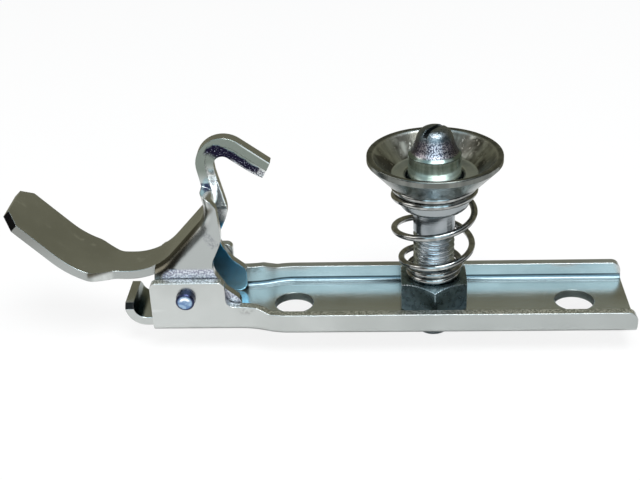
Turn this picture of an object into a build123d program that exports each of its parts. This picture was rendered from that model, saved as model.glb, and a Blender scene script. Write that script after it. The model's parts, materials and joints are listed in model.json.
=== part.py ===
from build123d import *
from math import acos, atan2, cos, degrees, hypot, pi, radians, sin, tan
import os

os.makedirs("parts", exist_ok=True)

# Upper hood latch for a car: a folded plate that is bolted under the hood, with the striker pin,
# its spring and dished cup in the middle and the hinged safety hook at the left end.
# The origin is midway between the two bolt holes, on the face that seats on the hood.
# X runs along the plate towards its plain end, Y across it, and Z along the striker pin.

# Base channel, folded from one sheet
sheet = 2.5
bend_inner = 1.5
channel_width = 31.2
channel_right = 57.0
flange_height = 7.5
flange_corner = 2.7
bolt_spacing = 83.0
bolt_hole = 11.6

# Ears that carry the hook's pivot, and the narrower plate between them
ear_width = 25.8
ear_height = 17.0
ear_back = 10.4
ear_front = 11.4
ear_corner = 1.8
notch_length = 8.9
notch_height = 8.9
notch_radius = 2.5
ramp_length = 4.0
joggle_start = 14.8
joggle_length = 15.0

# Curled lip at the plate's left end
lip_width = 15.6
lip_reach = 2.8
lip_radius = 6.3
lip_upright = 0.6
lip_corner = 1.5
lip_root = 1.4

# Threaded collar drawn down from the plate round the striker pin
collar_diameter = 15.6
collar_depth = 3.5
collar_round = 0.8

# Hook's pivot, measured from the left bolt hole and from the seating face
pivot_back = 30.3
pivot_height = 11.85
pivot_diameter = 5.4
pivot_proud = 2.2
pivot_chamfer = 0.4
pivot_head = 9.0
pivot_head_thick = 1.8
pivot_clearance = 0.05
cheek_gap = 0.4

# Safety hook lever, one pressing; runs follow its outer face from the handle to the tip
lever_sheet = 2.6
lever_bend = 4.2
handle_width = 21.0
handle_run = 29.2
handle_slope = 45.0
handle_chamfer = 4.0
handle_bend = 26.0
valley_run = 19.6
valley_rise = 5.55
valley_ahead = 9.5
valley_bend = 18.0
waist_width = 12.0
waist_start = 21.5
waist_taper = 6.5
waist_round = 4.0
cheek_start = 9.2
back_run = 24.7
back_slope = 48.2
back_bend = 7.0
neck_run = 32.4
neck_lean = 100.5
hook_bend = 7.9
hook_run = 30.6
hook_slope = -36.5
hook_depth = 6.2
tip_rake = 11.0
throat_run = 17.4
hook_throat = 2.6
hook_width = 3.7
hook_side = -2.0
shoulder_height = 31.0
shoulder_round = 5.0
offset_start = 20.0
offset_rise = 15.0
offset_round = 4.0
crown_radius = 7.4
crown_ahead = 4.1
bulge_ahead = 11.3
bulge_height = 17.2
bulge_round = 9.0
nape_ahead = 7.3
nape_height = 8.6
nape_round = 6.0
toe_root_ahead = 11.6
toe_root_height = 1.4
toe_root_round = 4.0
toe_ahead = 15.6
toe_height = -1.9
toe_round = 2.8
toe_length = 6.9
toe_gap = 0.1
toe_coin = 1.3
heel_depth = 6.6
heel_ahead = 5.2
heel_behind = 6.6
heel_round = 3.0

# Return spring of the hook, coiled on the pivot between the cheeks
twist_wire = 1.6
twist_radius = 4.2
twist_coils = 4
twist_pitch = 1.75
twist_reach = 7.8
twist_upper_reach = 10.0
leg_gap = 0.3

# Striker pin, screwed through the collar and locked by the nut
thread_diameter = 12.0
pin_below = 6.3
pin_end_chamfer = 1.6
head_diameter = 15.0
head_top = 50.9
nose_step = 1.15
nose_step_rise = 1.2
nose_root = 5.0
nose_cone_rise = 5.4
nose_flat = 2.0
nose_height = 7.8
slot_width = 1.5
slot_depth = 1.7
slot_angle = 50.0
thread_gap = 0.02

# Hexagonal lock nut
nut_flats = 19.0
nut_height = 10.0
nut_face_step = 0.3
nut_chamfer_angle = 30.0

# Dished spring cup, pressed from one sheet and free to slide down the pin
cup_sheet = 2.2
cup_rim = 38.2
cup_rim_height = 50.8
cup_rim_land = 1.4
cup_floor_width = 24.4
cup_depth = 6.0
cup_neck = 10.0
cup_neck_inner = 16.4
cup_neck_wall = 1.8
cup_neck_bend = 1.7
cup_bore_clearance = 0.08
cup_floor_bend = 1.5
cup_throat_bend = 0.9
cup_edge_round = 0.4
seat_gap = 0.05

# Striker spring, from the nut up to the cup
wire = 1.9
coil_gap = 0.05
coil_clearance = 0.07
top_coil_diameter = 22.8
end_ground = 0.78
spring_turns = 5.8
spring_start_angle = 126.0
widen_from = 1.2
widen_to = 3.0
open_from = 1.45
open_full = 2.9
close_from = 4.0
close_full = 4.5
points_per_turn = 12

# Places worked out from the sizes
bolt_x = bolt_spacing / 2
pivot_x = -bolt_x - pivot_back
ear_left = pivot_x - ear_back
ear_right = pivot_x + ear_front
notch_right = ear_right + notch_length
joggle_x = pivot_x + joggle_start
cheek_half = ear_width / 2 - sheet - cheek_gap
spring_floor = cup_rim_height - cup_depth - cup_sheet
nut_top = sheet + nut_height


def toward(point, length, angle):
    """The point that lies a run's length away in the run's direction."""
    return (point[0] + length * cos(radians(angle)), point[1] + length * sin(radians(angle)))


def beside(corners, gap):
    """Corners of a line that runs parallel to the given one, a gap away on its right."""
    units = []
    for first, second in zip(corners, corners[1:]):
        run = hypot(second[0] - first[0], second[1] - first[1])
        units.append(((second[0] - first[0]) / run, (second[1] - first[1]) / run))
    normals = [(along[1], -along[0]) for along in units]
    shifted = [(corners[0][0] + gap * normals[0][0], corners[0][1] + gap * normals[0][1])]
    for corner, before, after in zip(corners[1:-1], normals, normals[1:]):
        share = gap / (1 + before[0] * after[0] + before[1] * after[1])
        shifted.append((corner[0] + share * (before[0] + after[0]), corner[1] + share * (before[1] + after[1])))
    last = normals[-1]
    shifted.append((corners[-1][0] + gap * last[0], corners[-1][1] + gap * last[1]))
    return shifted


# Base channel: the plan of its outside and of its trough differ by the sheet's thickness
joggle_step = (channel_width - ear_width) / 2
joggle_radius = (joggle_length**2 + joggle_step**2) / (4 * joggle_step)
joggle_turn = 180 - 2 * degrees(acos(joggle_step / hypot(joggle_length, joggle_step)))
trough_overrun = 5.0


def channel_plan(inset, overrun):
    """Half of the channel's plan, drawn along its far side and mirrored to the near side."""
    with BuildSketch() as plan:
        with BuildLine():
            left = Line((ear_left - overrun, 0), (ear_left - overrun, ear_width / 2 - inset))
            narrow = Line(left @ 1, (joggle_x, ear_width / 2 - inset))
            swell = JernArc(narrow @ 1, narrow % 1, joggle_radius + inset, joggle_turn)
            settle = JernArc(swell @ 1, swell % 1, joggle_radius - inset, -joggle_turn)
            wide = Line(settle @ 1, (channel_right + overrun, channel_width / 2 - inset))
            Line(wide @ 1, (channel_right + overrun, 0))
            mirror(about=Plane.XZ)
        make_face()
    return plan.sketch


with BuildPart() as trough:
    add(channel_plan(sheet, trough_overrun).moved(Location((0, 0, sheet))))
    extrude(amount=ear_height)
    fillet(trough.edges().group_by(Axis.Z)[0].filter_by(Axis.Y, reverse=True), bend_inner)

with BuildPart() as base_channel:
    add(channel_plan(0, 0))
    extrude(amount=ear_height)
    fillet(base_channel.edges().group_by(Axis.Z)[0].filter_by(Axis.Y, reverse=True), bend_inner + sheet)
    add(trough.part, mode=Mode.SUBTRACT)
    # Side view of the flanges: tall ears with round corners, the notch behind them, then the ramp
    with BuildSketch(Plane.XZ):
        with BuildLine():
            skyline = FilletPolyline(
                (ear_left, -collar_depth),
                (ear_left, ear_height),
                (ear_right, ear_height),
                (ear_right, notch_height),
                (notch_right, notch_height),
                (notch_right + ramp_length, flange_height),
                (channel_right, flange_height),
                (channel_right, -collar_depth),
                radius=[ear_corner, ear_corner, notch_radius, notch_radius, notch_radius, flange_corner],
            )
            Line(skyline @ 1, skyline @ 0)
        make_face()
    extrude(amount=channel_width, both=True, mode=Mode.INTERSECT)
    # Lip, curled up out of the plate's end and narrower than the plate
    with BuildSketch(Plane.XZ):
        with BuildLine():
            lip_start = Line((ear_left + sheet, 0), (ear_left - lip_reach, 0))
            outer_curl = JernArc(lip_start @ 1, lip_start % 1, lip_radius, -90)
            lip_end = Polyline(
                outer_curl @ 1,
                (outer_curl @ 1) + Vector(0, lip_upright),
                (outer_curl @ 1) + Vector(sheet, lip_upright),
                (outer_curl @ 1) + Vector(sheet, 0),
            )
            inner_curl = JernArc(lip_end @ 1, (0, -1), lip_radius - sheet, 90)
            Polyline(inner_curl @ 1, (ear_left + sheet, sheet), lip_start @ 0)
        make_face()
    extrude(amount=lip_width / 2, both=True)
    with BuildSketch():
        with Locations((ear_left - lip_root / 2, 0)):
            Rectangle(lip_root, lip_width + 2 * lip_root)
        with Locations((ear_left - lip_root, lip_width / 2 + lip_root), (ear_left - lip_root, -lip_width / 2 - lip_root)):
            Circle(lip_root, mode=Mode.SUBTRACT)
    extrude(amount=sheet)
    lip_edge = base_channel.faces().filter_by(Axis.Z).filter_by(
        lambda face: abs(face.center().X - (outer_curl @ 1).X - sheet / 2) < sheet / 2
    )
    chamfer(lip_edge.sort_by(Axis.Z)[-1].edges().filter_by(Axis.X), lip_corner)
    # Collar under the plate, then every hole
    with BuildSketch():
        Circle(collar_diameter / 2)
    extrude(amount=-collar_depth)
    fillet(base_channel.edges().group_by(Axis.Z)[0], collar_round)
    with BuildSketch(Plane.XY.offset(-collar_depth)):
        Circle(thread_diameter / 2)
        with Locations((-bolt_x, 0), (bolt_x, 0)):
            Circle(bolt_hole / 2)
    extrude(amount=collar_depth + sheet, mode=Mode.SUBTRACT)
    with BuildSketch(Plane.XZ):
        with Locations((pivot_x, pivot_height)):
            Circle(pivot_diameter / 2)
    extrude(amount=ear_width, both=True, mode=Mode.SUBTRACT)
base_channel.part.label = "base_channel"
export_step(base_channel.part, "parts/base_channel.step")

# Safety hook lever: corners of its outer face in the side view, from the handle's end to the tip
valley_front = (pivot_x - valley_ahead, pivot_height + valley_rise)
valley_back = toward(valley_front, valley_run, 180)
handle_end = toward(valley_back, handle_run, 180 - handle_slope)
neck_foot = toward(valley_front, back_run, back_slope)
hook_corner = toward(neck_foot, neck_run, neck_lean)
hook_tip = toward(hook_corner, hook_run, hook_slope)
spine = [valley_back, valley_front, neck_foot, hook_corner, hook_tip]
spine_bends = [valley_bend, back_bend, hook_bend]
inner_bends = [valley_bend + lever_sheet, back_bend + lever_sheet, hook_bend - lever_sheet]

# Free edge of the cheeks: from under the tip to the throat, down the front, round the toe and heel
tip_under = toward(hook_tip, hook_depth, hook_slope - 90 + tip_rake)
toe_bottom = sheet + toe_gap
free_edge = [
    tip_under,
    toward(tip_under, throat_run, hook_slope + 180),
    (pivot_x + bulge_ahead, pivot_height + bulge_height),
    (pivot_x + nape_ahead, pivot_height + nape_height),
    (pivot_x + toe_root_ahead, pivot_height + toe_root_height),
    (pivot_x + toe_ahead, pivot_height + toe_height),
    (pivot_x + toe_ahead, toe_bottom),
    (pivot_x + toe_ahead - toe_length, toe_bottom),
    (pivot_x + heel_ahead, pivot_height - heel_depth),
    (pivot_x - heel_behind, pivot_height - heel_depth),
    (pivot_x - cheek_start, pivot_height),
]
free_rounds = [
    hook_throat, bulge_round, nape_round, toe_root_round, toe_round, toe_round, toe_round / 2, heel_round, heel_round,
]

# Front view: the near cheek ends at a shoulder, and the far cheek leans in to carry the hook
hook_far = hook_side + hook_width
far_line = [
    (cheek_half, 0),
    (cheek_half, pivot_height + offset_start),
    (hook_far, pivot_height + offset_start + offset_rise),
    (hook_far, pivot_height + hook_run + neck_run),
]
above = 20.0

with BuildPart() as lever_hollow:
    with BuildSketch(Plane.XZ):
        with BuildLine():
            reach = toward(hook_tip, above, hook_slope)
            inner_line = beside([valley_back, valley_front, neck_foot, hook_corner, reach], lever_sheet)
            inner_spine = FilletPolyline(*inner_line, radius=inner_bends)
            Polyline(inner_spine @ 1, (reach[0], -above), (valley_back[0], -above), inner_spine @ 0)
        make_face()
    extrude(amount=channel_width, both=True)
    with BuildSketch(Plane.YZ.offset(valley_back[0])):
        with BuildLine():
            inner_far = FilletPolyline(
                *beside(far_line, -lever_sheet), radius=[offset_round, offset_round + lever_sheet]
            )
            near_wall = lever_sheet - cheek_half
            Polyline(inner_far @ 1, (near_wall, far_line[-1][1]), (near_wall, 0), inner_far @ 0)
        make_face()
    extrude(amount=reach[0] - valley_back[0], mode=Mode.INTERSECT)

with BuildPart() as handle:
    with BuildSketch(Plane.XZ):
        with BuildLine():
            strip = [handle_end, valley_back, valley_front, toward(valley_front, back_run / 2, back_slope)]
            strip_top = FilletPolyline(*strip, radius=[handle_bend, valley_bend])
            strip_below = FilletPolyline(
                *reversed(beside(strip, lever_sheet)),
                radius=[valley_bend + lever_sheet, handle_bend + lever_sheet],
            )
            Line(strip_top @ 1, strip_below @ 0)
            Line(strip_below @ 1, strip_top @ 0)
        make_face()
    extrude(amount=handle_width / 2, both=True)
    handle_corners = handle.faces().sort_by(Axis.X)[0].edges().filter_by(Axis.Y, reverse=True)
    chamfer(handle_corners, handle_chamfer)
    with BuildSketch():
        with BuildLine():
            far_outline = FilletPolyline(
                (handle_end[0] - handle_width, handle_width / 2),
                (pivot_x - waist_start - waist_taper, handle_width / 2),
                (pivot_x - waist_start, waist_width / 2),
                (pivot_x, waist_width / 2),
                radius=waist_round,
            )
            Line(far_outline @ 1, (pivot_x, 0))
            Line((handle_end[0] - handle_width, 0), far_outline @ 0)
            mirror(about=Plane.XZ)
        make_face()
    extrude(amount=handle_run + channel_width, mode=Mode.INTERSECT)

with BuildPart() as safety_hook_lever:
    # Back of the pressing, with rolled corners where it turns into the cheeks
    with BuildSketch(Plane.XZ):
        with BuildLine():
            outer_spine = FilletPolyline(*spine, radius=spine_bends)
            Polyline(outer_spine @ 1, (hook_tip[0], -above), (valley_back[0], -above), outer_spine @ 0)
        make_face()
    extrude(amount=cheek_half, both=True)
    back_corners = safety_hook_lever.edges().filter_by(
        lambda edge: outer_spine.distance_to(Vertex((edge @ 0.5).X, (edge @ 0.5).Z, 0)) < 0.01
    )
    fillet(back_corners.filter_by(Axis.Y, reverse=True), lever_bend)
    # Free edge of both cheeks
    with BuildSketch(Plane.XZ):
        with BuildLine():
            cut_spine = FilletPolyline(*spine, radius=spine_bends)
            lower_edge = FilletPolyline(*free_edge, radius=free_rounds)
            Line(cut_spine @ 1, lower_edge @ 0)
            Line(lower_edge @ 1, cut_spine @ 0)
        make_face()
    extrude(amount=channel_width, both=True, mode=Mode.INTERSECT)
    with BuildSketch(Plane.YZ.offset(pivot_x - cheek_start)):
        with BuildLine():
            # The toe's outer edges are coined, to clear the channel's inner bends
            far_side = FilletPolyline(
                (cheek_half, toe_bottom + toe_coin), *far_line[1:], radius=[offset_round + lever_sheet, offset_round]
            )
            near_side = FilletPolyline(
                (hook_side, far_line[-1][1]),
                (hook_side, pivot_height + shoulder_height),
                (-cheek_half, pivot_height + shoulder_height),
                (-cheek_half, toe_bottom + toe_coin),
                radius=[shoulder_round, lever_sheet / 4],
            )
            Line(far_side @ 1, near_side @ 0)
            Polyline(
                near_side @ 1,
                (toe_coin - cheek_half, toe_bottom),
                (cheek_half - toe_coin, toe_bottom),
                far_side @ 0,
            )
        make_face()
    extrude(amount=hook_tip[0] - pivot_x + cheek_start + above, mode=Mode.INTERSECT)
    add(lever_hollow.part, mode=Mode.SUBTRACT)
    # Crown of the near cheek, below the shoulder
    with BuildSketch(Plane.XZ.offset(-hook_side)):
        with Locations((pivot_x + crown_ahead, pivot_height + shoulder_height - crown_radius)):
            Rectangle(channel_width, channel_width, align=(Align.MIN, Align.MIN))
            Circle(crown_radius, mode=Mode.SUBTRACT)
    extrude(amount=channel_width, mode=Mode.SUBTRACT)
    # Handle: the strip goes on to the left, waisted and then wide again
    add(handle.part)
    with BuildSketch(Plane.XZ):
        with Locations((pivot_x, pivot_height)):
            Circle(pivot_diameter / 2 + pivot_clearance)
    extrude(amount=channel_width, both=True, mode=Mode.SUBTRACT)
safety_hook_lever.part.label = "safety_hook_lever"
export_step(safety_hook_lever.part, "parts/safety_hook_lever.step")

# Pivot pin: pressed through the ears, with a low round head on the far side
with BuildPart() as pivot_pin:
    with BuildSketch(Plane.XZ.offset(-ear_width / 2)):
        with Locations((pivot_x, pivot_height)):
            Circle(pivot_diameter / 2)
    extrude(amount=ear_width + pivot_proud)
    chamfer(pivot_pin.edges().sort_by(Axis.Y)[0], pivot_chamfer)
    with BuildSketch(Plane.XZ.offset(-ear_width / 2)):
        with Locations((pivot_x, pivot_height)):
            Circle(pivot_head / 2)
    extrude(amount=-pivot_head_thick)
    fillet(pivot_pin.edges().sort_by(Axis.Y)[-1], pivot_head_thick * 0.7)
pivot_pin.part.label = "pivot_pin"
export_step(pivot_pin.part, "parts/pivot_pin.step")

# Return spring: each leg leaves the coil along a tangent, one to the plate and one to the lever
coil_half = twist_coils * twist_pitch / 2
lower_end = (-twist_reach, sheet + leg_gap + twist_wire / 2 - pivot_height)
valley_tangent = valley_bend * tan(radians(back_slope / 2))
valley_centre = (-valley_ahead - valley_tangent, valley_rise + valley_bend)
ceiling_radius = valley_bend + lever_sheet
ceiling = valley_centre[1] - (ceiling_radius**2 - (-twist_upper_reach - valley_centre[0]) ** 2) ** 0.5
upper_end = (-twist_upper_reach, ceiling - leg_gap - twist_wire / 2)
lower_angle = atan2(lower_end[1], lower_end[0]) + acos(twist_radius / hypot(lower_end[0], lower_end[1]))
upper_angle = atan2(upper_end[1], upper_end[0]) - acos(twist_radius / hypot(upper_end[0], upper_end[1]))
twist_sweep = upper_angle - lower_angle - 2 * pi * twist_coils
twist_points = []
twist_steps = twist_coils * points_per_turn
for step in range(twist_steps + 1):
    share = step / twist_steps
    angle = lower_angle + twist_sweep * share
    along = coil_half * (1 - 2 * share)
    twist_points.append(
        (pivot_x + twist_radius * cos(angle), along, pivot_height + twist_radius * sin(angle))
    )
lower_tip = (pivot_x + lower_end[0], coil_half, pivot_height + lower_end[1])
upper_tip = (pivot_x + upper_end[0], -coil_half, pivot_height + upper_end[1])

with BuildPart() as torsion_spring:
    with BuildLine() as twist_path:
        lower_leg = Line(lower_tip, twist_points[0])
        upper_run = Line(twist_points[-1], upper_tip, mode=Mode.PRIVATE)
        Spline(*twist_points, tangents=[lower_leg % 1, upper_run % 0])
        Line(twist_points[-1], upper_tip)
    with BuildSketch(Plane(origin=lower_tip, z_dir=lower_leg % 0)):
        Circle(twist_wire / 2)
    sweep(path=twist_path.wire())
torsion_spring.part.label = "torsion_spring"
export_step(torsion_spring.part, "parts/torsion_spring.step")

# Striker pin: threaded shank, plain head with a flat shoulder, tapered nose with a driver slot
seat_height = spring_floor + cup_sheet - cup_neck + cup_sheet + seat_gap
with BuildPart() as striker_pin:
    with BuildSketch(Plane.XZ):
        with BuildLine():
            thread_radius = thread_diameter / 2 - thread_gap
            shank = Polyline(
                (0, -pin_below),
                (thread_radius - pin_end_chamfer, -pin_below),
                (thread_radius, pin_end_chamfer - pin_below),
                (thread_radius, seat_height),
                (head_diameter / 2 - cup_edge_round, seat_height),
                (head_diameter / 2, seat_height + cup_edge_round),
                (head_diameter / 2, head_top),
                (head_diameter / 2 - nose_step, head_top + nose_step_rise),
                (nose_root, head_top + nose_cone_rise),
            )
            nose = TangentArc(shank @ 1, (nose_flat, head_top + nose_height), tangent=shank % 1)
            Polyline(nose @ 1, (0, head_top + nose_height), (0, -pin_below))
        make_face()
    revolve(axis=Axis.Z)
    with BuildSketch(Plane.XY.offset(head_top + nose_height - slot_depth)):
        Rectangle(head_diameter, slot_width, rotation=slot_angle)
    extrude(amount=slot_depth, mode=Mode.SUBTRACT)
striker_pin.part.label = "striker_pin"
export_step(striker_pin.part, "parts/striker_pin.step")

# Lock nut, with its corners chamfered on both faces
with BuildPart() as lock_nut:
    with BuildSketch(Plane.XY.offset(sheet)):
        RegularPolygon(nut_flats / 2, 6, major_radius=False, rotation=30)
    extrude(amount=nut_height)
    with BuildSketch(Plane.XZ):
        with BuildLine():
            face_radius = nut_flats / 2 - nut_face_step
            corner_radius = nut_flats / 2 / cos(pi / 6)
            drop = (corner_radius - face_radius) * tan(radians(nut_chamfer_angle))
            Polyline(
                (0, sheet),
                (face_radius, sheet),
                (corner_radius, sheet + drop),
                (corner_radius, nut_top - drop),
                (face_radius, nut_top),
                (0, nut_top),
                close=True,
            )
        make_face()
    revolve(axis=Axis.Z, mode=Mode.INTERSECT)
    with BuildSketch(Plane.XY.offset(sheet)):
        Circle(thread_diameter / 2)
    extrude(amount=nut_height, mode=Mode.SUBTRACT)
lock_nut.part.label = "lock_nut"
export_step(lock_nut.part, "parts/lock_nut.step")

# Spring cup: rim, cone, flat floor and a neck whose turned-in bottom hangs under the pin's head
cup_floor = spring_floor + cup_sheet
neck_bottom = cup_floor - cup_neck
rim_inner = cup_rim / 2 - cup_rim_land
cone_angle = atan2(cup_depth, rim_inner - cup_floor_width / 2)
cone_under = rim_inner + cup_sheet * sin(cone_angle)
rim_under = cup_rim_height - cup_sheet * cos(cone_angle) - (cone_under - cup_rim / 2) * tan(cone_angle)
under_corner = cup_rim / 2 - (rim_under - spring_floor) / tan(cone_angle)
with BuildPart() as spring_cup:
    with BuildSketch(Plane.XZ):
        with BuildLine():
            bore = thread_diameter / 2 + cup_bore_clearance
            inside = FilletPolyline(
                (bore, neck_bottom),
                (bore, neck_bottom + cup_sheet),
                (cup_neck_inner / 2, neck_bottom + cup_sheet),
                (cup_neck_inner / 2, cup_floor),
                (cup_floor_width / 2, cup_floor),
                (rim_inner, cup_rim_height),
                (cup_rim / 2, cup_rim_height),
                (cup_rim / 2, rim_under),
                radius=[0.1, 0.1, cup_throat_bend, cup_floor_bend, cup_floor_bend, cup_edge_round],
            )
            outside = FilletPolyline(
                inside @ 1,
                (under_corner, spring_floor),
                (cup_neck_inner / 2 + cup_neck_wall, spring_floor),
                (cup_neck_inner / 2 + cup_neck_wall, neck_bottom),
                inside @ 0,
                radius=[cup_floor_bend + cup_sheet, cup_edge_round, cup_neck_bend],
            )
        make_face()
    revolve(axis=Axis.Z)
spring_cup.part.label = "spring_cup"
export_step(spring_cup.part, "parts/spring_cup.step")


# Striker spring: closed and ground at both ends, tight on the pin below and wide under the cup
def eased(value, start, end):
    """Share of the way from start to end, with a soft beginning and end."""
    share = min(max((value - start) / (end - start), 0.0), 1.0)
    return share * share * (3 - 2 * share)


def openness(turn):
    """How far the pitch is open at a turn: 0 where the coils are closed, 1 in the middle."""
    return eased(turn, open_from, open_full) * (1 - eased(turn, close_from, close_full))


closed_pitch = wire + coil_gap
spring_low = nut_top + wire / 2 - end_ground
spring_high = spring_floor - coil_gap - wire / 2 + end_ground
narrow_radius = thread_diameter / 2 + wire / 2 + coil_clearance
wide_radius = top_coil_diameter / 2
steps = round(spring_turns * points_per_turn)
turn_step = spring_turns / steps
open_turns = sum(openness((step + 0.5) * turn_step) for step in range(steps)) * turn_step
extra_pitch = (spring_high - spring_low - closed_pitch * spring_turns) / open_turns
spring_points = []
height = spring_low
for step in range(steps + 1):
    turn = step * turn_step
    angle = radians(spring_start_angle) + 2 * pi * turn
    radius = narrow_radius + (wide_radius - narrow_radius) * eased(turn, widen_from, widen_to)
    spring_points.append((radius * cos(angle), radius * sin(angle), height))
    height += (closed_pitch + extra_pitch * openness(turn + turn_step / 2)) * turn_step

with BuildPart() as compression_spring:
    with BuildLine() as spring_path:
        spring_line = Spline(*spring_points)
    with BuildSketch(Plane(origin=spring_points[0], z_dir=spring_line % 0)):
        Circle(wire / 2)
    sweep(path=spring_path.wire())
    with BuildSketch(Plane.XY.offset(nut_top)):
        Circle(cup_rim)
    extrude(amount=spring_floor - coil_gap - nut_top, mode=Mode.INTERSECT)
compression_spring.part.label = "compression_spring"
export_step(compression_spring.part, "parts/compression_spring.step")
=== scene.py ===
import json
from math import cos, pi, radians, sin

import bmesh
import bpy
from mathutils import Matrix, Vector


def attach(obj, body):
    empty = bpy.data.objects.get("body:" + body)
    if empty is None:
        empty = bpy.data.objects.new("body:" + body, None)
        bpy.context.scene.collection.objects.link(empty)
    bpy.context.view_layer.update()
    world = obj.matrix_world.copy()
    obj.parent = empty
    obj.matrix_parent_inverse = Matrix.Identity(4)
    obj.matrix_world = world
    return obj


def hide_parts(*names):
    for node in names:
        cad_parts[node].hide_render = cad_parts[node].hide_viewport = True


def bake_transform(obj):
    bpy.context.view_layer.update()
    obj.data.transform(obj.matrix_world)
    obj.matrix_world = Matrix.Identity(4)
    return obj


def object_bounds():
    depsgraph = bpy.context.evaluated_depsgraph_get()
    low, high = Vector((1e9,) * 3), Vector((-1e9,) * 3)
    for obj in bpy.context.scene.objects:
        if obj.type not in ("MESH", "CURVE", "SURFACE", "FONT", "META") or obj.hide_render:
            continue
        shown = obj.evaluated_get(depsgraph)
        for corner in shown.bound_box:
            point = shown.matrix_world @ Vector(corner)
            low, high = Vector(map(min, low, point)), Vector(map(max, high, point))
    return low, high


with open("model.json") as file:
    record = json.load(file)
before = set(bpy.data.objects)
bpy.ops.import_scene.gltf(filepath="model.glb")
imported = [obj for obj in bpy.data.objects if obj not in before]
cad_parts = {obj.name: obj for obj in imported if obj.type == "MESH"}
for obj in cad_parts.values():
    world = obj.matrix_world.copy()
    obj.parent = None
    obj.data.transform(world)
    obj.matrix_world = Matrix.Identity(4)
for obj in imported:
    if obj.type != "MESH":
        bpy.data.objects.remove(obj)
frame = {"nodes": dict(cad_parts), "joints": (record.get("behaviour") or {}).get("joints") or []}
cad_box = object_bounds()


# Base channel: the plate that is bolted under the hood. One sheet of 2.5 mm steel, blanked, folded
# and zinc plated. Its flat faces are smooth, and its sheared edges are rough and catch the light.
class Value:
    """A socket of a node tree that can be added, multiplied and compared like a number."""

    def __init__(self, graph, socket):
        self.graph = graph
        self.socket = socket

    def math(self, operation, *others):
        return self.graph.add("ShaderNodeMath", {"operation": operation}, self, *others)

    def __add__(self, other):
        return self.math("ADD", other)

    __radd__ = __add__

    def __sub__(self, other):
        return self.math("SUBTRACT", other)

    def __rsub__(self, other):
        return self * -1.0 + other

    def __mul__(self, other):
        return self.math("MULTIPLY", other)

    __rmul__ = __mul__

    def __neg__(self):
        return self * -1.0

    def size(self):
        return self.math("ABSOLUTE")

    def between(self, low, high):
        """0 at low, 1 at high, and a soft rise between them; low may be the larger one."""
        if low > high:
            return 1.0 - self.between(high, low)
        return self.graph.add(
            "ShaderNodeMapRange", {"interpolation_type": "SMOOTHSTEP"}, self, From_Min=low, From_Max=high
        )

    def near(self, middle, reach):
        """1 at a middle value, and 0 at a reach from it."""
        return (self - middle).size().between(reach, reach * 0.3)


class Graph:
    """A node tree; add makes a node from its type, its settings and the values of its sockets."""

    def __init__(self, tree):
        self.tree = tree

    def join(self, value, socket):
        """Link a value to a socket, or set a constant on it; a colour gets its full alpha here."""
        if isinstance(value, Value):
            self.tree.links.new(value.socket, socket)
        elif socket.type == "RGBA":
            socket.default_value = (*value, 1.0)
        else:
            socket.default_value = value

    def add(self, kind, settings, *values, output=0, **named):
        made = self.tree.nodes.new(kind)
        for key, setting in settings.items():
            setattr(made, key, setting)
        for socket, value in zip(made.inputs, values):
            self.join(value, socket)
        for key, value in named.items():
            self.join(value, made.inputs[key.replace("_", " ")])
        return Value(self, made.outputs[output])

    def mix(self, share, first, second):
        """A colour that is the first at a share of 0 and the second at 1."""
        made = self.tree.nodes.new("ShaderNodeMix")
        made.data_type = "RGBA"
        for place, value in ((0, share), (6, first), (7, second)):
            self.join(value, made.inputs[place])
        return Value(self, made.outputs[2])

    def axes(self, vector):
        made = self.add("ShaderNodeSeparateXYZ", {}, vector)
        return [Value(self, socket) for socket in made.socket.node.outputs]


class Metal(Graph):
    """A metal's material: colour, roughness and height are built up, and done joins them."""

    def __init__(self, name, edge_radius):
        self.material = bpy.data.materials.new(name)
        self.material.use_nodes = True
        super().__init__(self.material.node_tree)
        self.surface = self.tree.nodes["Principled BSDF"]
        self.place = self.add("ShaderNodeTexCoord", {}, output="Object")
        self.x, self.y, self.z = self.axes(self.place)
        facing = self.add("ShaderNodeTexCoord", {}, output="Normal")
        self.to_right, to_far, self.to_top = self.axes(facing)
        self.to_near = -to_far
        self.rounded = self.add("ShaderNodeBevel", {"samples": 6}, edge_radius)
        flat = self.add("ShaderNodeNewGeometry", {}, output="Normal")
        agreeing = self.add(
            "ShaderNodeVectorMath", {"operation": "DOT_PRODUCT"}, self.rounded, flat, output="Value"
        )
        self.edge = (1.0 - agreeing).between(0.02, 0.25)

    def noise(self, scale, detail=4.0, stretch=None):
        place = self.place
        if stretch:
            place = self.add("ShaderNodeMapping", {}, Vector=place, Scale=stretch)
        return self.add("ShaderNodeTexNoise", {}, Vector=place, Scale=scale, Detail=detail)

    def paint(self, share, colour, other=None, pattern=None):
        """Lay a colour over a share of the metal, or two colours that a pattern mixes."""
        if other:
            colour = self.mix(pattern, colour, other)
        self.colour = self.mix(share, self.colour, colour)

    def done(self, depth):
        self.tree.links.new(
            self.add("ShaderNodeBump", {}, Height=self.height, Distance=depth, Normal=self.rounded).socket,
            self.surface.inputs["Normal"],
        )
        self.surface.inputs["Metallic"].default_value = 1.0
        self.join(self.colour, self.surface.inputs["Base Color"])
        self.join(self.roughness, self.surface.inputs["Roughness"])


def zinc(name, rolling):
    """Zinc plating on rolled sheet: soft clouds, fine lines along the sheet's rolling, and painted
    highlights along its edges.
    """
    made = Metal(name, edge_radius=0.00035)
    cloud = made.noise(60.0)
    rolled = made.noise(260.0, 3.0, rolling)
    fine = made.noise(1600.0, 2.0)
    made.colour = made.mix(cloud.between(0.35, 0.65), (0.44, 0.45, 0.435), (0.50, 0.51, 0.495))
    made.paint(rolled.between(0.62, 0.72) * 0.35, (0.75, 0.76, 0.75))
    # Painted highlight: the edges are painted brighter.
    made.paint(made.edge * 0.6, (0.80, 0.80, 0.77))
    made.roughness = 0.15 + cloud * 0.09 + rolled * 0.07
    made.height = fine * 0.5 + rolled
    return made


def dress(node, metal):
    """Give a CAD node its metal."""
    for slot in frame["nodes"][node].material_slots:
        slot.material = metal.material


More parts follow.
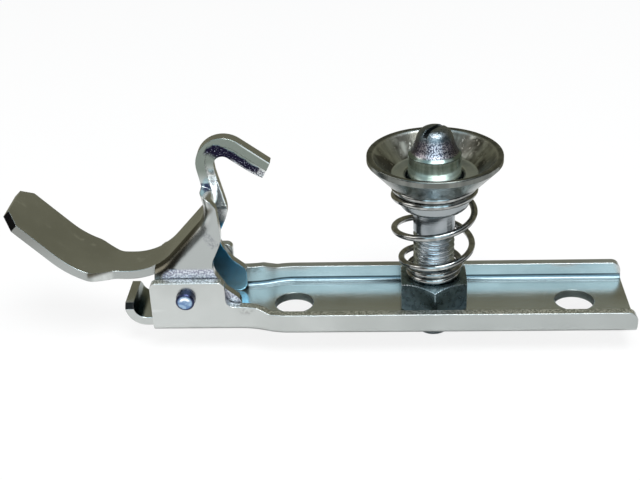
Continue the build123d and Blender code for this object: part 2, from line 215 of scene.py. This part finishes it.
flange_edge = 0.0064
flange_start = -0.082
flange_outside = -0.011
ear_edge = 0.0160
web_level = 0.0030
hole_reach = 0.0070
lip_left = -0.0832
lip_black = -0.0882
scuff_x, scuff_z = -0.0544, 0.0080

rolled_along_x = (0.10, 1.0, 1.0)
plate = zinc("plate_zinc", rolled_along_x)
torn = plate.noise(1900.0, 2.0)

# The flanges and ears are sheared off roughly along their tops, the near flange most of all.
flange_top = plate.z.between(flange_edge - 0.0004, flange_edge) * plate.to_top.between(0.6, 0.9)
flange_top = flange_top * plate.x.between(flange_start - 0.001, flange_start)
near_top = flange_top * plate.y.between(0.0, -0.004)
plate.paint(near_top * 0.8, (0.30, 0.30, 0.26), (0.85, 0.84, 0.80), torn.between(0.46, 0.54))
ear_top = plate.z.between(ear_edge - 0.002, ear_edge) * plate.to_top.between(0.2, 0.5)
sheared = flange_top + ear_top * 0.3

# The web's near half is painted pale blue as a painted reflection, and its bend to the far flange is
# painted dark as painted shade.
web_face = plate.to_top.between(0.90, 0.97) * plate.z.between(web_level + 0.001, web_level)
# Painted reflection: the web's near half is painted pale blue.
plate.paint(web_face * plate.y.between(0.004, -0.006) * 0.6, (0.68, 0.74, 0.79))
web_bend_shade = plate.to_near.between(0.02, 0.10) * plate.to_top.between(0.02, 0.10)
# Painted shade: the bend to the far flange is painted dark.
plate.paint(plate.y.between(0.0, 0.004) * web_bend_shade, (0.115, 0.15, 0.165))
# Painted shade: the walls of the bolt holes are painted dark teal.
hole_wall_shade = plate.to_top.size().between(0.4, 0.2) * plate.y.size().between(hole_reach + 0.0008, hole_reach)
plate.paint(hole_wall_shade * 0.85, (0.17, 0.21, 0.195))

# The curled lip is painted dark inside as painted shade, darkest at its near end, and black along its near
# corner as a painted dark reflection.
lip_inside_shade = plate.x.between(lip_left, lip_left - 0.0008) * plate.to_right.between(0.15, 0.5)
plate.paint(lip_inside_shade, (0.018, 0.040, 0.038), (0.26, 0.28, 0.25), plate.y.between(-0.002, 0.010))
lip_corner_reflection = plate.x.between(lip_black + 0.001, lip_black) * plate.to_near.between(0.5, 0.6)
plate.paint(lip_corner_reflection * plate.to_top.between(0.5, 0.6), (0.015, 0.015, 0.015))

# The near flange is painted darker towards its right end, as painted shade, and is scuffed beside the ear.
near_flange = plate.to_near.between(0.6, 0.9) * plate.y.between(flange_outside + 0.001, flange_outside)
rightward_shade = (plate.x + plate.noise(40.0) * 0.02).between(-0.055, 0.030)
# Painted shade: the near flange is darkened towards its right end.
plate.paint(near_flange * rightward_shade * 0.45, (0.25, 0.275, 0.27))
scuffed = plate.x.near(scuff_x, 0.0030) * plate.z.near(scuff_z, 0.0020) * plate.to_near.between(0.6, 0.8)
plate.paint(scuffed * plate.noise(900.0).between(0.50, 0.56) * 0.45, (0.20, 0.20, 0.19))
plate.roughness = plate.roughness + sheared * 0.18
plate.height = plate.height + torn * sheared * 3.0
plate.done(depth=0.00003)
dress("base_channel", plate)

# Pivot pin: turned steel, pressed through the ears. Its near end is a chamfered blue-grey stub, with a
# painted highlight at its top and a painted dark ring of shade where it leaves the ear.
hinge = {joint["name"]: joint for joint in frame["joints"]}["hook_release"]["pos_m"]
painted_glint_radius = 0.0012

pivot = Metal("pivot_steel", edge_radius=0.0003)
pivot_grain = pivot.noise(900.0, 3.0)
stub_x = pivot.x - hinge[0]
stub_z = pivot.z - hinge[2]
from_middle = (stub_x * stub_x + stub_z * stub_z).math("SQRT")
pivot.colour = pivot.mix(pivot_grain.between(0.4, 0.6), (0.14, 0.22, 0.38), (0.30, 0.42, 0.56))
# Painted shade: a dark ring round the stub.
pivot.paint(from_middle.between(0.0018, 0.0023), (0.03, 0.035, 0.075))
# Painted highlight: a glint on the stub's top.
pivot.paint(from_middle.near(painted_glint_radius, 0.0006) * stub_z.between(0.0, 0.001), (0.95, 0.98, 1.0))
pivot.roughness = 0.22 + pivot_grain * 0.2
pivot.height = pivot_grain
pivot.done(depth=0.0001)
dress("pivot_pin", pivot)

# Safety hook lever: one pressing of 2.6 mm steel, plated like the plate. The hook's near face is
# smooth above and torn below, where the blanking tool broke through, and the cheek is scuffed.
hook_middle_x, hook_middle_z = -0.0593, 0.04935
hook_outside = 0.0079
hook_slope = radians(36.5)
bend_x, bend_z = -0.0802, 0.0192
bend_cos, bend_sin = 0.826, 0.564
cheek_top = 0.0430
hook_face_start, hook_face_full = 0.0420, 0.0480
corner_foot = 0.0190
inside_top = 0.0245
lobe_foot, lobe_top = 0.031, 0.046
handle_black = -0.112
rub_top = 0.0195
rub_start = -0.0780
scratch_x, scratch_z = -0.0642, 0.0300
scratch_cos, scratch_sin = 0.83, 0.55
neck_x = -0.0650
spot_z, shine_z = 0.0424, 0.0390

rolled_upwards = (1.0, 1.0, 0.15)
lever = zinc("lever_zinc", rolled_upwards)
near_face = lever.to_near.between(0.8, 0.95)
grit = lever.noise(2200.0, 2.0)

# On the hook, along runs from its bend to its tip, and into_hook is the depth under its outer edge.
from_hook_x = lever.x - hook_middle_x
from_hook_z = lever.z - hook_middle_z
along = from_hook_x * cos(hook_slope) - from_hook_z * sin(hook_slope)
across = from_hook_x * sin(hook_slope) + from_hook_z * cos(hook_slope)
behind = along.math("MINIMUM", 0.0)
into_hook = hook_outside - (behind * behind + across * across).math("SQRT")

# The near cheek is a little darker than the plate, with a brown shadow beside the back's bend.
cheek = near_face * lever.z.between(cheek_top + 0.002, cheek_top) * lever.y.between(-0.004, -0.006)
lever.paint(cheek, (0.37, 0.385, 0.375))
from_bend = (lever.x - bend_x) * bend_cos - (lever.z - bend_z) * bend_sin
shadow = (from_bend + lever.noise(180.0) * 0.002).between(0.0064, 0.0012)
shadow_depth = lever.z.between(0.020, 0.034) * 0.45 + 0.15
lever.paint(cheek * shadow * shadow_depth, (0.125, 0.12, 0.10))

# The hook's near face is darker still, under a painted highlight along its outer edge.
hook_face = near_face * lever.z.between(hook_face_start, hook_face_full)
lever.paint(hook_face, (0.18, 0.205, 0.18))
painted_edge_highlight = hook_face * into_hook.between(0.00040, 0.00025) * along.between(-0.002, 0.002)
# Painted highlight: a bright line along the hook's outer edge.
lever.paint(painted_edge_highlight * 0.6, (0.80, 0.83, 0.82))

# The rounded corner between the back and the near cheek is painted dark brown as painted shade, darkest on
# the cheek's side.
rolled_corner_shade = lever.to_near.between(0.01, 0.08) * lever.to_near.between(1.0, 0.97)
rolled_corner_shade = rolled_corner_shade * lever.z.between(corner_foot - 0.002, corner_foot)
rolled_corner_shade = rolled_corner_shade * from_bend.between(0.0042, 0.0026)
back_side = lever.y.between(0.0, -0.002) * lever.z.between(0.0400, 0.0380)
lever.paint(rolled_corner_shade * back_side, (0.10, 0.095, 0.075))
cheek_side = lever.to_near.between(0.35, 0.60) * lever.z.between(0.0400, 0.0370)
lever.paint(rolled_corner_shade * cheek_side, (0.085, 0.078, 0.060))

# The far cheek's inside is painted deep blue at its top and pale blue at its foot, as a painted reflection.
# Its lobe at the neck is painted bright in fine vertical streaks, as painted highlights, and the handle's
# near corner is painted black, as a painted dark reflection.
inside = near_face * lever.y.between(0.003, 0.005) * lever.z.between(inside_top + 0.003, inside_top)
# Painted reflection: the far cheek's inside is painted blue.
lever.paint(inside, (0.08, 0.48, 0.80), (0.42, 0.72, 0.88), lever.z.between(0.020, 0.008))
highlight_streaks = lever.noise(1200.0, 2.0, (1.0, 1.0, 0.06))
lobe = lever.to_near.between(0.2, 0.4) * lever.y.between(-0.0015, 0.0)
lobe = lobe * lever.z.between(lobe_foot - 0.005, lobe_foot) * lever.z.between(lobe_top + 0.004, lobe_top)
# Painted highlight: bright vertical streaks on the lobe.
lever.paint(lobe, (0.80, 0.82, 0.80), (1.0, 1.0, 1.0), highlight_streaks.between(0.35, 0.6))
handle_corner_reflection = (-lever.to_right).between(0.35, 0.45) * lever.x.between(handle_black + 0.002, handle_black)
handle_corner_reflection = handle_corner_reflection * lever.to_near.between(0.6, 0.68) * lever.to_near.between(0.85, 0.75)
# Painted reflection: the handle's near corner is painted black.
lever.paint(handle_corner_reflection, (0.012, 0.012, 0.012))

# The lower half of the hook's near face is torn: nearly black, and grey along its inner edge and
# at its tip.
break_line = into_hook + lever.noise(500.0, 2.0) * 0.0012
torn_start = (-along).between(0.0010, 0.0060) * 0.0024
torn_hook = (break_line + torn_start).between(0.0041, 0.0045) * near_face * across.between(-0.0012, 0.0008)
lever.paint(torn_hook, (0.010, 0.008, 0.022), (0.22, 0.22, 0.27), grit.between(0.56, 0.68))
border = (break_line.between(0.0058, 0.0066) + along.between(0.0090, 0.0098)).math("MINIMUM", 1.0)
torn_border = torn_hook * border * along.between(0.000, 0.004)
lever.paint(torn_border, (0.10, 0.095, 0.12), (0.62, 0.62, 0.62), grit.between(0.30, 0.60))

# The cheek is rubbed in a band above the ear, and scribbled with fine scratches in its middle.
rub = lever.noise(1700.0, 2.0)
rubbed = lever.z.between(rub_top + 0.001, rub_top) * near_face * lever.y.between(-0.008, -0.009)
rubbed = rubbed * lever.x.between(rub_start - 0.0015, rub_start)
lever.paint(rubbed * 0.8, (0.24, 0.23, 0.31), (0.66, 0.66, 0.72), rub.between(0.44, 0.56))
scratch_across = (lever.x - scratch_x) * scratch_cos + (lever.z - scratch_z) * scratch_sin
scratch_along = (lever.z - scratch_z) * scratch_cos - (lever.x - scratch_x) * scratch_sin
scribble = lever.noise(1300.0, 3.0).near(0.5, 0.04)
scuff = scratch_along.size().between(0.0038, 0.0030) * scratch_across.size().between(0.0016, 0.0010)
lever.paint(scuff * scribble * near_face * 0.8, (0.16, 0.16, 0.19))

# The neck is painted with a dark reflection at its top and a bright painted highlight under it.
at_neck = (lever.x - neck_x).size().between(0.004, 0.003)
neck_dark_reflection = (lever.z - spot_z).size().between(0.0016, 0.0008) * lever.noise(700.0, 2.0).between(0.35, 0.6)
# Painted reflection: a dark spot at the neck's top.
lever.paint(neck_dark_reflection * at_neck * near_face, (0.04, 0.04, 0.075))
neck_highlight = (lever.z - shine_z).size().between(0.0018, 0.0004) * lever.y.between(-0.0075, -0.0060)
# Painted highlight: a bright band under it.
lever.paint(neck_highlight * at_neck, (0.98, 0.98, 1.0))
lever.roughness = lever.roughness + (torn_hook + rubbed) * 0.2
lever.height = lever.height + grit * torn_hook * 8.0 + rub * rubbed * 6.0
lever.done(depth=0.00003)
dress("safety_hook_lever", lever)

# Return spring of the hook: drawn wire on the pivot between the cheeks, left grey and a little oily.
# Its far leg stands on the plate, and its near leg turns with the lever, so the coils wind up between; here
# the spring is left as it stands.
wire = Metal("spring_wire", edge_radius=0.0002)
wire_grain = wire.noise(500.0, 3.0)
wire.colour = wire.mix(wire_grain.between(0.4, 0.6), (0.22, 0.22, 0.21), (0.36, 0.36, 0.35))
wire.roughness = 0.08 + wire_grain * 0.10
wire.height = wire_grain
wire.done(depth=0.00002)


def copied(node):
    """A fresh mesh of a CAD node's form, with its doubled points merged."""
    solid = frame["nodes"][node].data
    mesh = bpy.data.meshes.new(node + "_copy")
    mesh.from_pydata([v.co for v in solid.vertices], [], [f.vertices[:] for f in solid.polygons])
    work = bmesh.new()
    work.from_mesh(mesh)
    bmesh.ops.remove_doubles(work, verts=work.verts, dist=0.000001)
    work.to_mesh(mesh)
    work.free()
    return mesh


def piece(name, mesh, metal=None):
    """An object of that mesh, shaded smooth but for its sharp edges."""
    mesh.shade_smooth()
    mesh.set_sharp_from_angle(angle=radians(28.0))
    if metal:
        mesh.materials.append(metal.material)
    made = bpy.data.objects.new(name, mesh)
    bpy.context.collection.objects.link(made)
    return made


return_spring = piece("return_spring", copied("torsion_spring"), wire)
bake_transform(return_spring)
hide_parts("torsion_spring")

# Striker pin: turned and plated. The shank is threaded as far as the lower coils, the head has fine
# turning rings, and the nose is pitted, with a driver slot across its top.
thread_end = 0.0275
head_foot = 0.0375
head_top = 0.0505
nose_foot = 0.0520
slot_foot = 0.0548

striker = Metal("striker_steel", edge_radius=0.0003)
rings = striker.noise(700.0, 2.0, (0.06, 0.06, 1.0))
smear = striker.noise(160.0, 3.0)
pitting = striker.noise(2600.0, 2.0)
on_shank = striker.z.between(thread_end, thread_end - 0.0007)
on_head = striker.z.between(head_foot - 0.0015, head_foot)
on_nose = striker.z.between(nose_foot - 0.0006, nose_foot)
on_tip = striker.z.between(slot_foot, slot_foot + 0.002)
striker.colour = striker.mix(smear.between(0.3, 0.7), (0.15, 0.17, 0.18), (0.30, 0.32, 0.335))
striker.paint(on_shank * 0.8, (0.34, 0.38, 0.40), (0.62, 0.66, 0.69), smear.between(0.4, 0.6))
striker.paint(on_head, (0.62, 0.72, 0.68), (0.86, 0.94, 0.91), rings.between(0.35, 0.65))
striker.paint(striker.z.between(head_top, head_top + 0.0004), (0.20, 0.25, 0.23))
striker.paint(on_nose, (0.09, 0.08, 0.105), (0.58, 0.53, 0.55), pitting.between(0.46, 0.54))
# Painted shade: the nose is painted darker at its left and right sides, and at its tip.
striker.paint(on_nose * striker.to_right.size().between(0.35, 0.85) * 0.85, (0.05, 0.045, 0.07))
striker.paint(on_tip * on_nose * 0.85, (0.09, 0.12, 0.13), (0.17, 0.19, 0.20), smear.between(0.4, 0.6))
striker.roughness = 0.16 + rings * 0.10 + on_nose * pitting * 0.2
striker.height = rings + pitting * on_nose * 1.5
striker.done(depth=0.00006)

# The shank's thread: the pin's own mesh is turned down to the thread's core, and one winding of a
# three-sided bar is laid round it, with its crest at the shank's radius and its end fading out.
shank_radius, core_radius = 0.00598, 0.00515
core_foot, core_top, core_step = 0.0118, 0.0266, 0.0006
hair = 0.0001
thread_sizes = {"Turns": 9.75, "Pitch": 0.0015, "Crest Radius": 0.00597, "First Turn": 0.0122}

shank = copied("striker_pin")
lathe = bmesh.new()
lathe.from_mesh(shank)
for level in (core_foot - core_step, core_foot, core_top, core_top + core_step):
    whole = lathe.verts[:] + lathe.edges[:] + lathe.faces[:]
    bmesh.ops.bisect_plane(lathe, geom=whole, plane_co=(0, 0, level), plane_no=(0, 0, 1))
for corner in lathe.verts:
    if core_foot - hair < corner.co.z < core_top + hair:
        corner.co.xy *= core_radius / shank_radius
lathe.to_mesh(shank)
lathe.free()
blank = bpy.data.objects.new("blank", shank)
bpy.context.collection.objects.link(blank)

cutting = bpy.data.node_groups.new("thread_cutting", "GeometryNodeTree")
cutting.interface.new_socket("Pin", in_out="INPUT", socket_type="NodeSocketGeometry")
cutting.interface.new_socket("Threaded Pin", in_out="OUTPUT", socket_type="NodeSocketGeometry")
named = {}
for label in thread_sizes:
    named[label] = cutting.interface.new_socket(label, in_out="INPUT", socket_type="NodeSocketFloat")
named["Finish"] = cutting.interface.new_socket("Finish", in_out="INPUT", socket_type="NodeSocketMaterial")
cut = Graph(cutting)
entry = cutting.nodes.new("NodeGroupInput")
pin, turns, pitch, crest, first_turn, finish = [Value(cut, socket) for socket in entry.outputs[:6]]
middle = crest - pitch * 0.5
winding = cut.add(
    "GeometryNodeCurveSpiral", {}, Resolution=64, Rotations=turns,
    Start_Radius=middle, End_Radius=middle, Height=turns * pitch,
)
winding = cut.add("GeometryNodeSetCurveNormal", {"mode": "Z_UP"}, winding)
lift = cut.add("ShaderNodeCombineXYZ", {}, 0.0, 0.0, first_turn)
winding = cut.add("GeometryNodeTransform", {}, Geometry=winding, Translation=lift, Rotation=(0.0, 0.0, pi))
tooth = cut.add("GeometryNodeCurvePrimitiveCircle", {}, Resolution=3, Radius=pitch * 0.5)
tooth = cut.add("GeometryNodeTransform", {}, Geometry=tooth, Rotation=(0.0, 0.0, pi))
fading = cut.add("GeometryNodeSplineParameter", {}).between(1.0, 0.94)
bar = cut.add(
    "GeometryNodeCurveToMesh", {}, Curve=winding, Profile_Curve=tooth, Scale=fading, Fill_Caps=True
)
both = cutting.nodes.new("GeometryNodeJoinGeometry")
for part in (pin, bar):
    cut.join(part, both.inputs[0])
real = cut.add("GeometryNodeRealizeInstances", {}, Value(cut, both.outputs[0]))
coated = cut.add("GeometryNodeSetMaterial", {}, Geometry=real, Material=finish)
cut.join(coated, cutting.nodes.new("NodeGroupOutput").inputs[0])
cutter = blank.modifiers.new("thread_cutting", "NODES")
cutter.node_group = cutting
for label, value in {**thread_sizes, "Finish": striker.material}.items():
    cutter[named[label].identifier] = value
made_plain = bpy.data.meshes.new_from_object(blank.evaluated_get(bpy.context.evaluated_depsgraph_get()))
bpy.data.objects.remove(blank)
threaded_pin = piece("threaded_pin", made_plain)
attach(threaded_pin, "base")
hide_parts("striker_pin")

# Lock nut: dark satin steel, chamfered on both faces, with painted highlights along its corners. It is
# turned down hard on the plate, round the striker pin, so that neither can work loose.
nut = Metal("nut_steel", edge_radius=0.0004)
nut_grain = nut.noise(700.0, 3.0)
nut.colour = nut.mix(nut_grain.between(0.35, 0.65), (0.10, 0.14, 0.155), (0.15, 0.20, 0.215))
# Painted highlight: the nut's edges are painted bright.
nut.paint(nut.edge * 0.9, (0.85, 0.88, 0.92))
nut.roughness = 0.22 + nut_grain * 0.12
nut.height = nut_grain
nut.done(depth=0.00003)
dress("lock_nut", nut)

# Spring cup: drawn from one sheet and plated. Its bowl is stained and worn by the striker's
# use, in streaks that run down the cone.
bowl_reach = 0.0168
rim_radius = 0.0178
cone_foot = 0.0105
floor_level = 0.0465
neck_outside, neck_inside = 0.0104, 0.0058
neck_top = 0.0415

cup = zinc("cup_zinc", (1.0, 1.0, 0.6))
round_angle = cup.y.math("ARCTAN2", cup.x)
from_axis = (cup.x * cup.x + cup.y * cup.y).math("SQRT")
streak_place = cup.add("ShaderNodeCombineXYZ", {}, round_angle * 3.0, from_axis * 60.0, 0.0)
streaks = cup.add("ShaderNodeTexNoise", {}, Vector=streak_place, Scale=2.2, Detail=5.0)
specks = cup.noise(800.0, 3.0)
smudge = cup.noise(95.0, 3.0)

# The bowl: streaks, a dark smudge in its far half, a painted reflection of the pin at its near right, and
# bright specks.
in_bowl = cup.to_top.between(0.15, 0.4) * from_axis.between(bowl_reach + 0.0008, bowl_reach)
cup.paint(in_bowl * 0.75, (0.11, 0.11, 0.085), (0.40, 0.41, 0.36), streaks.between(0.35, 0.68))
dark_smudge = smudge.between(0.47, 0.57) * cup.y.between(-0.007, 0.002)
cup.paint(in_bowl * dark_smudge * 0.8, (0.05, 0.045, 0.035))
pin_reflection = smudge.between(0.45, 0.55) * cup.x.between(0.006, 0.012) * cup.y.between(0.002, -0.006)
# Painted reflection: a pale patch of the pin in the bowl.
cup.paint(in_bowl * pin_reflection, (0.50, 0.57, 0.59))
bright_specks = specks.between(0.60, 0.66) * streaks.between(0.6, 0.4)
cup.paint(in_bowl * bright_specks * 0.6, (0.70, 0.68, 0.62))
bowl_floor = cup.to_top.between(0.85, 0.95) * cup.z.between(floor_level + 0.001, floor_level)
cup.paint(bowl_floor * 0.8, (0.60, 0.64, 0.62))

# The outside: a dark rim, a cone that is painted dark at both sides as painted shade, and a grey neck
# inside the spring.
cup_rim = from_axis.between(rim_radius - 0.0006, rim_radius)
cup.paint(cup_rim * 0.9, (0.075, 0.08, 0.07), (0.145, 0.15, 0.135), streaks.between(0.4, 0.6))
outer_cone = (-cup.to_top).between(0.1, 0.3) * from_axis.between(cone_foot, cone_foot + 0.001)
# Painted shade: the cone's left and right sides are painted dark.
cup.paint(outer_cone, (0.28, 0.33, 0.34), (0.10, 0.11, 0.095), cup.x.size().between(0.003, 0.013))
cup_neck = from_axis.between(neck_outside, neck_outside - 0.0002)
cup_neck = cup_neck * from_axis.between(neck_inside, neck_inside + 0.0002)
cup_neck = cup_neck * cup.z.between(neck_top + 0.0005, neck_top)
cup.paint(cup_neck * 0.9, (0.27, 0.29, 0.30))
cup.roughness = cup.roughness + in_bowl * 0.08
cup.height = cup.height + specks * in_bowl * 2.0
cup.done(depth=0.00003)
dress("spring_cup", cup)

# Striker spring: drawn wire, closed and ground at both ends. Its foot stands on the nut, its top coil
# is under the cup, and the coils between close up as the cup is pressed down; here the spring is left as it
# stands.
striker_spring = piece("striker_spring", copied("compression_spring"), wire)
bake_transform(striker_spring)
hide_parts("compression_spring")

# Floor: a plain sheet of white paper, just under the object's lowest point. For the camera it glows
# by itself, nearly to white, so that only a soft shadow of the object is left on it.
white = (1.0, 1.0, 1.0)
floor_gap = 0.0002
glow_share = 0.86

bpy.ops.mesh.primitive_plane_add(size=4.0, location=(0, 0, cad_box[0][2] - floor_gap))
floor = bpy.context.object
floor.name = "floor"
paper = bpy.data.materials.new("paper")
paper.use_nodes = True
sheet = Graph(paper.node_tree)
sheen = paper.node_tree.nodes["Principled BSDF"]
sheet.join((0.93, 0.93, 0.925), sheen.inputs["Base Color"])
sheet.join(0.95, sheen.inputs["Roughness"])
sheet.join(0.0, sheen.inputs["Specular IOR Level"])
ray = sheet.add("ShaderNodeLightPath", {})
direct = Value(sheet, ray.socket.node.outputs["Is Camera Ray"])
glow = sheet.add("ShaderNodeEmission", {}, white, 1.0)
lit = sheet.add("ShaderNodeMixShader", {}, direct * glow_share, Value(sheet, sheen.outputs[0]), glow)
sheet.join(lit, paper.node_tree.nodes["Material Output"].inputs["Surface"])
floor.data.materials.append(paper)


# Studio cards: large plain cards round the object, out of the picture, that only the metal mirrors.
# The back one is olive, the front one is a bright window above the camera, the top one is pale blue,
# and the side ones are dark.
def card(name, middle, level, width, height, colour):
    """A card round its middle, turned to the striker pin's axis at a level."""
    bpy.ops.mesh.primitive_plane_add(size=1.0)
    made = bpy.context.object
    made.name = name
    middle = Vector(middle)
    aim = (Vector((0.0, 0.0, level)) - middle).to_track_quat("Z", "Y").to_matrix().to_4x4()
    made.data.transform(Matrix.Translation(middle) @ aim @ Matrix.Diagonal((width, height, 1.0, 1.0)))
    finish = bpy.data.materials.new(name)
    finish.use_nodes = True
    finish.node_tree.nodes.remove(finish.node_tree.nodes["Principled BSDF"])
    face = Graph(finish.node_tree)
    shining = face.add("ShaderNodeEmission", {}, colour, 1.0)
    face.join(shining, finish.node_tree.nodes["Material Output"].inputs["Surface"])
    made.data.materials.append(finish)
    made.visible_camera = False
    made.visible_diffuse = False
    made.visible_shadow = False


object_level = 0.02
card("back_card", (0.0, 0.07, 0.345), 0.345, 2.4, 0.70, (0.228, 0.222, 0.158))
card("window_card", (0.0, -0.9, 0.52), 0.52, 1.1, 0.62, (1.60, 2.35, 2.80))
card("top_card", (0.0, -0.3, 1.1), object_level, 1.6, 1.6, (0.62, 0.85, 0.98))
card("left_card", (-0.8, -0.3, 0.40), 0.40, 1.6, 0.80, (0.10, 0.105, 0.10))
card("right_card", (0.8, -0.3, 0.40), 0.40, 1.6, 0.80, (0.06, 0.075, 0.08))


# Light: a broad softbox above in front and a weaker one at the left, and a room with white walls
# that light the object only a little, but that the camera and the metal see as white.
def softbox(name, place, size, power, colour):
    light = bpy.data.lights.new(name, "AREA")
    light.shape = "RECTANGLE"
    light.size, light.size_y = size
    light.energy = power
    light.color = colour
    lamp = bpy.data.objects.new(name, light)
    bpy.context.collection.objects.link(lamp)
    lamp.location = place
    lamp.rotation_euler = (Vector((0, 0, object_level)) - Vector(place)).to_track_quat("-Z", "Y").to_euler()


softbox("key_box", (0.10, -0.30, 0.75), (0.5, 0.4), 7.0, (0.97, 0.99, 1.0))
softbox("left_box", (-0.8, -0.1, 0.45), (0.5, 0.5), 2.2, (1.0, 0.99, 0.97))

studio = bpy.data.worlds.new("studio")
bpy.context.scene.world = studio
studio.use_nodes = True
studio.node_tree.nodes.clear()
room = Graph(studio.node_tree)
rays = room.add("ShaderNodeLightPath", {}).socket.node.outputs
backdrop = Value(room, rays["Is Camera Ray"]) + Value(room, rays["Is Glossy Ray"])
backdrop = (backdrop + Value(room, rays["Is Transmission Ray"])).math("MINIMUM", 1.0)
walls = room.add("ShaderNodeBackground", {}, white, 1.0)
fill = room.add("ShaderNodeBackground", {}, (0.9, 0.95, 1.0), 0.28)
shown = room.add("ShaderNodeMixShader", {}, backdrop, fill, walls)
room.join(shown, studio.node_tree.nodes.new("ShaderNodeOutputWorld").inputs["Surface"])

# Camera: where the photograph was taken, looking down at about 29 degrees. Its middle is shifted,
# because the photograph's edges don't lie evenly round the line of sight.
lens = bpy.data.cameras.new("camera")
lens.sensor_width = 36.0
lens.lens = 67.63
lens.shift_x = 0.0302
lens.shift_y = 0.0145
camera = bpy.data.objects.new("camera", lens)
bpy.context.collection.objects.link(camera)
eye = Vector((-0.0143615, -0.3080382, 0.1903196))
to_right = Vector((0.9975, 0.0549, -0.0441))
to_back = Vector((0.0694, -0.8739, 0.4811))
turn = Matrix((to_right, to_back.cross(to_right), to_back)).transposed().to_4x4()
camera.matrix_world = Matrix.Translation(eye) @ turn
bpy.context.scene.camera = camera
bpy.context.scene.view_settings.view_transform = "Standard"
